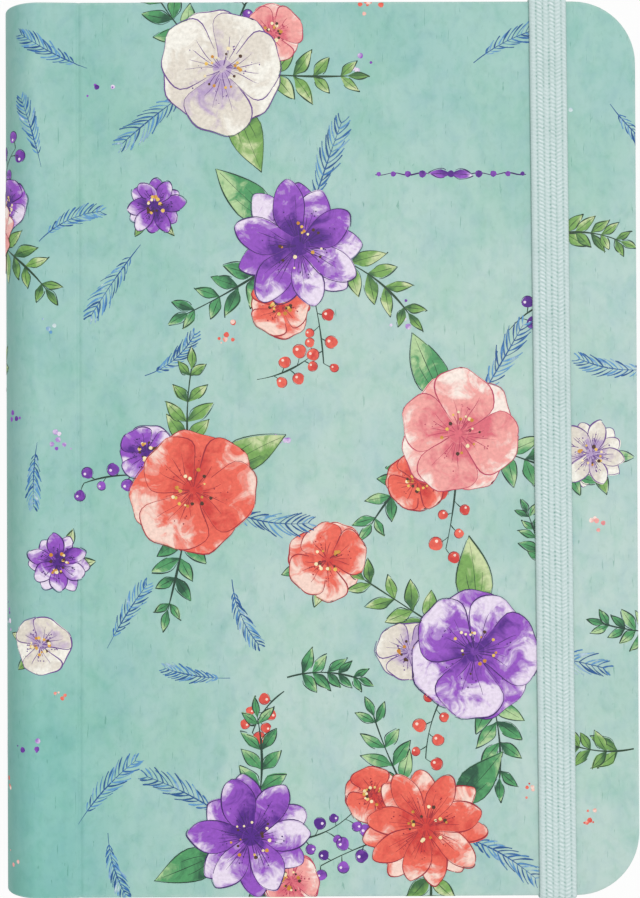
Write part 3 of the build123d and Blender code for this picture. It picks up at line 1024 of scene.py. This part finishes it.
def tabPrint(index, node):
    # a tinted tab with its two letters, on both faces of the section
    low, high = nodeBox(node)
    centreX, centreY = (cutX + pageForeX) / 2, pageHalf - (index + 0.5) * tabHeight
    halfX, halfY = pages["tabDepth"] / 2 - pages["tabMargin"], tabHeight / 2 - pages["tabGap"]
    corners = roundedOutline([(x * halfX, y * halfY, pages["tintCorner"]) for x, y in squareCorners])
    tint = []
    for (x0, y0), (x1, y1) in zip(corners, corners[1:] + corners[:1]):
        for step in range(pages["tintSteps"]):
            share = step / pages["tintSteps"]
            tint.append(insideCorner(centreX + between(x0, x1, share), centreY + between(y0, y1, share)))
    letters, letterFaces = letterMesh(node[-2:].upper(), pages["letterSize"])
    points, faces, uvs, washes = [], [], [], []
    for side, z in ((1, high.z), (-1, low.z)):
        # the letters are turned round to read from below
        turnedLetters = [(centreX + side * x, centreY + y) for x, y, _ in letters]
        layers = [(tint[::side], [tuple(range(len(tint)))], pages["tabWash"], pages["tintLift"]),
                  (turnedLetters, letterFaces, penWash, pages["letterLift"])]
        for places, rings, wash, lift in layers:
            faces += [tuple(len(points) + i for i in ring) for ring in rings]
            points += [(x, y, z + side * lift) for x, y in places]
            uvs += places
            washes += [wash] * len(places)
    ink = inks[pages["tabInks"][index % len(pages["tabInks"])]]
    return makePiece("tab_print_" + node[-2:], points, faces, [ink], uvs,
                     {"wash": washes, "rim": [1.0] * len(points)})


for index, body in enumerate(sections):
    node = "pages_" + body[-2:]
    leaves, tab = pageSection(index, node), tabPrint(index, node)
    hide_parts(node)
    for piece in (leaves, tab):
        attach(piece, body)
print("pages made:", len(sections))


band = {
    "radius": 0.86, "pitch": 0.62, "ripple": 0.09, "sides": 16, "ringsPerStitch": 5, "endShare": 0.55,
    "round": 5.4,  # the way round it, for the yarn's fuzz
}


def endBand(name, node):
    low, high = nodeBox(node)
    middle = (low + high) / 2
    sides, perStitch = band["sides"], band["ringsPerStitch"]
    rings = round((high.z - low.z) / band["pitch"]) * perStitch
    points, uvs, relief = [], [], []
    for ring in range(rings + 1):
        z = between(low.z, high.z, ring / rings)
        wave = abs(math.sin(math.pi * ring / perStitch))
        closing = smooth(0.0, 0.5, min(z - low.z, high.z - z) + 0.15)
        radius = (band["radius"] - band["ripple"] * (1 - wave)) * between(band["endShare"], 1, closing)
        stripe = ring // perStitch % 2
        for i in range(sides):
            angle = 2 * math.pi * i / sides
            points.append((middle.x + radius * math.cos(angle), middle.y + radius * math.sin(angle), z))
            uvs.append((i / sides * band["round"], z))
            # the stripes are the cotton's own colours, and the wave adds a slight painted highlight on each
            # turn of thread
            relief.append(0.15 + 0.7 * stripe + 0.15 * wave)
    faces = ringFaces(rings + 1, sides)
    faces += [tuple(reversed(range(sides))), tuple(rings * sides + i for i in range(sides))]
    piece = makePiece(name, points, faces, [bandCotton], uvs, {"relief": relief})
    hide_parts(node)
    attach(piece, "spine")


endBand("woven_head_band", "head_band")
endBand("woven_tail_band", "tail_band")
print("end bands woven")


elasticLow, elasticHigh = nodeBox("elastic_band")
elastic = {
    "width": elasticHigh.x - elasticLow.x, "thickness": 1.0, "edgeBend": 1.38, "exitBend": 0.54,
    "lean": 0.65,  # how far the band has slipped sideways at each end
    "anchorZ": 1.7, "stitch": 0.774, "rowsPerStitch": 6, "columns": 54,
    # the ribs: where each ends across the width, its slant, how roped it is,
    # and how dark the painted shade in the holes after it is
    "ribs": ((0.17, 0.4, 0.3, 0.9), (0.35, 0.45, 1.15, 0.65), (0.51, 0.4, 0.5, 0.85),
             (0.67, 0.45, 0.9, 0.65), (0.85, -0.45, 0.8, 0.75), (1.0, 0.4, 0.4, 0.0)),
    "core": 0.2, "ribHeight": 0.1, "beadHeight": 0.07, "rimRound": 0.7, "rimLoop": 0.09,
    "holeDepth": 0.12, "holeSize": 0.16, "holeShift": 0.37,
    "backs": (0.97, 0.6, 0.0, -0.6, -0.97), "backTone": 0.6,  # points across the plain back
}


def bandPath():
    # the middle line of the band in y and z, from tail to head, as places, normals and lengths so far
    sideY, runZ = elasticHigh.y - elastic["thickness"] / 2, elasticHigh.z - elastic["thickness"] / 2
    outward = [(halfHeight, elastic["anchorZ"]), (sideY, elastic["anchorZ"]), (sideY, runZ)]
    stops = [Vector((-y, z)) for y, z in outward] + [Vector(stop) for stop in reversed(outward)]
    radii = (elastic["exitBend"], elastic["edgeBend"], elastic["edgeBend"], elastic["exitBend"])
    legs, start = [], stops[0]
    for before, corner, after, radius in zip(stops, stops[1:], stops[2:], radii):
        back, onward = (before - corner).normalized() * radius, (after - corner).normalized() * radius
        legs += [(start, corner + back, None), (corner + back, corner + onward, corner + back + onward)]
        start = corner + onward
    legs.append((start, stops[-1], None))
    path, length = [], 0.0
    for first, last, centre in legs:
        size = (first - centre).length * quarterTurn if centre else (last - first).length
        count = max(2, round(size * elastic["rowsPerStitch"] / elastic["stitch"]))
        for i in range(count):
            if centre:
                c, s = math.cos(quarterTurn * i / count), math.sin(quarterTurn * i / count)
                spot = centre + (first - centre) * c + (last - centre) * s
                way = (last - centre) * c - (first - centre) * s
            else:
                spot, way = first.lerp(last, i / count), last - first
            normal = Vector((-way.y, way.x)).normalized()
            path.append((spot, normal, length + size * i / count))
        length += size
    return path + [(stops[-1], normal, length)]


def braidReliefAndShade(across, length):
    # height in mm, and tone from 0 in a hole to 1 on a crown, at a place on the face of the braid; the tone
    # is painted light, a highlight on crowns and beads and shade in the holes
    share, start = across / elastic["width"], 0.0
    for end, slant, roped, _ in elastic["ribs"]:
        if share <= end:
            break
        start = end
    stitches = length / elastic["stitch"]
    crown = 1 - abs(2 * (share - start) / (end - start) - 1) ** 3
    wobble = 0.4 * noise.noise(Vector((9 * start, 0.2 * length, 0.0)))
    turn = stitches + slant * (share - start) * elastic["width"] / elastic["stitch"] + wobble
    bead = 0.5 + 0.5 * math.cos(2 * math.pi * turn)
    roped *= 1 + 1.1 * noise.noise(Vector((5.3 * start, 0.83 * round(turn), 8.0)))
    height = crown * (elastic["ribHeight"] + elastic["beadHeight"] * roped * bead)
    # painted highlight on the crown of each rib and on the crest of each bead
    tone = 0.5 + 0.16 * crown + 0.46 * roped * crown * (bead - 0.5)
    for column, (end, _, _, dark) in enumerate(elastic["ribs"]):
        off = (share - end) * elastic["width"] / elastic["holeSize"]
        if dark == 0 or abs(off) > 3:
            continue
        wobble = 0.4 * noise.noise(Vector((7.7 * column, 0.2 * length, 2.0)))
        step = stitches + elastic["holeShift"] * column + wobble
        uneven = max(0.3, 0.7 + 0.9 * noise.noise(Vector((3.7 * column, round(step) * 0.71, 4.0))))
        hole = dark * uneven * math.exp(-off * off) * (0.5 + 0.5 * math.cos(2 * math.pi * step)) ** 2
        # each hole sinks, and its tone takes painted shade
        height -= elastic["holeDepth"] * hole
        tone -= 0.85 * hole
    return height, tone


def braidedElastic():
    path, columns, width = bandPath(), elastic["columns"], elastic["width"]
    middleX = (elasticLow.x + elasticHigh.x) / 2
    half = elastic["thickness"] / 2
    reachY = max(abs(spot.x) for spot, _, _ in path)
    points, uvs, relief = [], [], []

    def addPoint(spot, normal, length, side, rise, across, tone):
        slip = -elastic["lean"] * spot.x / reachY
        place = spot + normal * rise
        points.append((middleX + slip + side, place.x, place.y))
        uvs.append((across, length))
        relief.append(tone)

    for stop in path:
        length = stop[2]
        for i in range(columns + 1):
            across = width * i / columns
            height, tone = braidReliefAndShade(across, length)
            # the rim falls away in a round, and each turn of yarn makes a small loop there
            inward = max(0.0, 1 - min(across, width - across) / elastic["rimRound"]) ** 2
            rise = elastic["core"] + height - (elastic["core"] + half / 2) * inward
            loop = elastic["rimLoop"] * inward * math.cos(2 * math.pi * length / elastic["stitch"])
            side = across - width / 2
            addPoint(*stop, side + math.copysign(loop, side), rise, across, tone)
        for share in elastic["backs"]:
            drop = -half * (1.0 if abs(share) < 0.9 else 0.7)
            addPoint(*stop, share * width / 2, drop, width * (0.5 + share / 2), elastic["backTone"])
    ringSize = columns + 1 + len(elastic["backs"])
    faces = [face[::-1] for face in ringFaces(len(path), ringSize)]
    faces += [tuple(range(ringSize)), tuple(reversed(range(len(points) - ringSize, len(points))))]
    return makePiece("braided_elastic", points, faces, [elasticYarn], uvs, {"relief": relief})


closure = braidedElastic()
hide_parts("elastic_band")
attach(closure, "elastic")
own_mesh(closure)
print("elastic braided:", len(closure.data.polygons), "faces")


# The solids that stay get their finishes.
finishes = {
    "front_board": greyBoard, "back_board": greyBoard, "spine_stiffener": spineCard,
    "front_pastedown": endPaper, "back_pastedown": endPaper,
    "front_flyleaf": endPaper, "back_flyleaf": endPaper,
    "spine_lining": mullCloth, "sewing_thread": linenThread, "elastic_ends": elasticBack,
}
for node, material in finishes.items():
    solid = frame["nodes"][node]
    solid.data.materials.clear()
    solid.data.materials.append(material)


stage = {
    "floorReach": 2400.0, "floorDrop": 0.2,  # the drop clears the back print
    "white": "ffffff", "paper": "f4f4f2", "paperGlow": 0.9, "world": 0.69,
}
lamp = {"at": (550.0, 450.0, 2420.0), "size": 1500.0, "power": 20.0}
camera = {
    "at": (-0.85, -1.53, 276.7), "aim": (0.29, -0.10, 16.24), "roll": -0.24, "lens": 52.6, "sensor": 36.0,
}


def seenDirectly(add):
    # 1 where the eye meets a surface, straight, in a gloss or through glass
    rays = add("LightPath").node.outputs
    seen = add("Math", (rays["Is Camera Ray"], rays["Is Glossy Ray"]), operation="MAXIMUM")
    return add("Math", (seen, rays["Is Transmission Ray"]), operation="MAXIMUM")


# White seamless paper: it shows near white to the camera and still takes the book's shadow.
floorPaper, add = newMaterial("white studio paper")
lit = add("Math", (seenDirectly(add), stage["paperGlow"]), operation="MULTIPLY")
dull = add("BsdfDiffuse", {"Color": linear(stage["paper"])})
glow = add("Emission", {"Color": linear(stage["white"]), "Strength": 1.0})
add("OutputMaterial", {"Surface": add("MixShader", (lit, dull, glow))})
reach = stage["floorReach"]
floorCorners = [(x * reach, y * reach, -stage["floorDrop"]) for x, y in squareCorners]
floor = makePiece("floor", floorCorners, [(0, 1, 2, 3)], [floorPaper])

world = bpy.data.worlds.new("studio")
bpy.context.scene.world = world
world.use_nodes = True
world.node_tree.nodes.clear()
add = functools.partial(addNode, world.node_tree)
strength = add("MapRange", (seenDirectly(add), 0.0, 1.0, stage["world"], 1.0))
sky = add("Background", {"Color": linear(stage["white"]), "Strength": strength})
add("OutputWorld", {"Surface": sky})

light = bpy.data.lights.new("key", "AREA")
light.shape, light.size, light.energy = "DISK", lamp["size"] * mm, lamp["power"]
key = addObject("key", light)
key.location = Vector(lamp["at"]) * mm
key.rotation_euler = (-key.location).to_track_quat("-Z", "Y").to_euler()

eye = bpy.data.cameras.new("camera")
eye.lens, eye.sensor_width, eye.sensor_fit = camera["lens"], camera["sensor"], "AUTO"
eye.clip_start, eye.clip_end = 0.01, 10.0
viewer = addObject("camera", eye)
viewer.location = Vector(camera["at"]) * mm
gaze = Vector(camera["aim"]) - Vector(camera["at"])
tiltX, tiltY = math.atan2(gaze.y, -gaze.z), math.atan2(gaze.x, -gaze.z)
viewer.rotation_euler = (tiltX, -tiltY, math.radians(camera["roll"]))
bpy.context.scene.camera = viewer
bpy.context.scene.view_settings.view_transform = "Standard"
print("stage set")
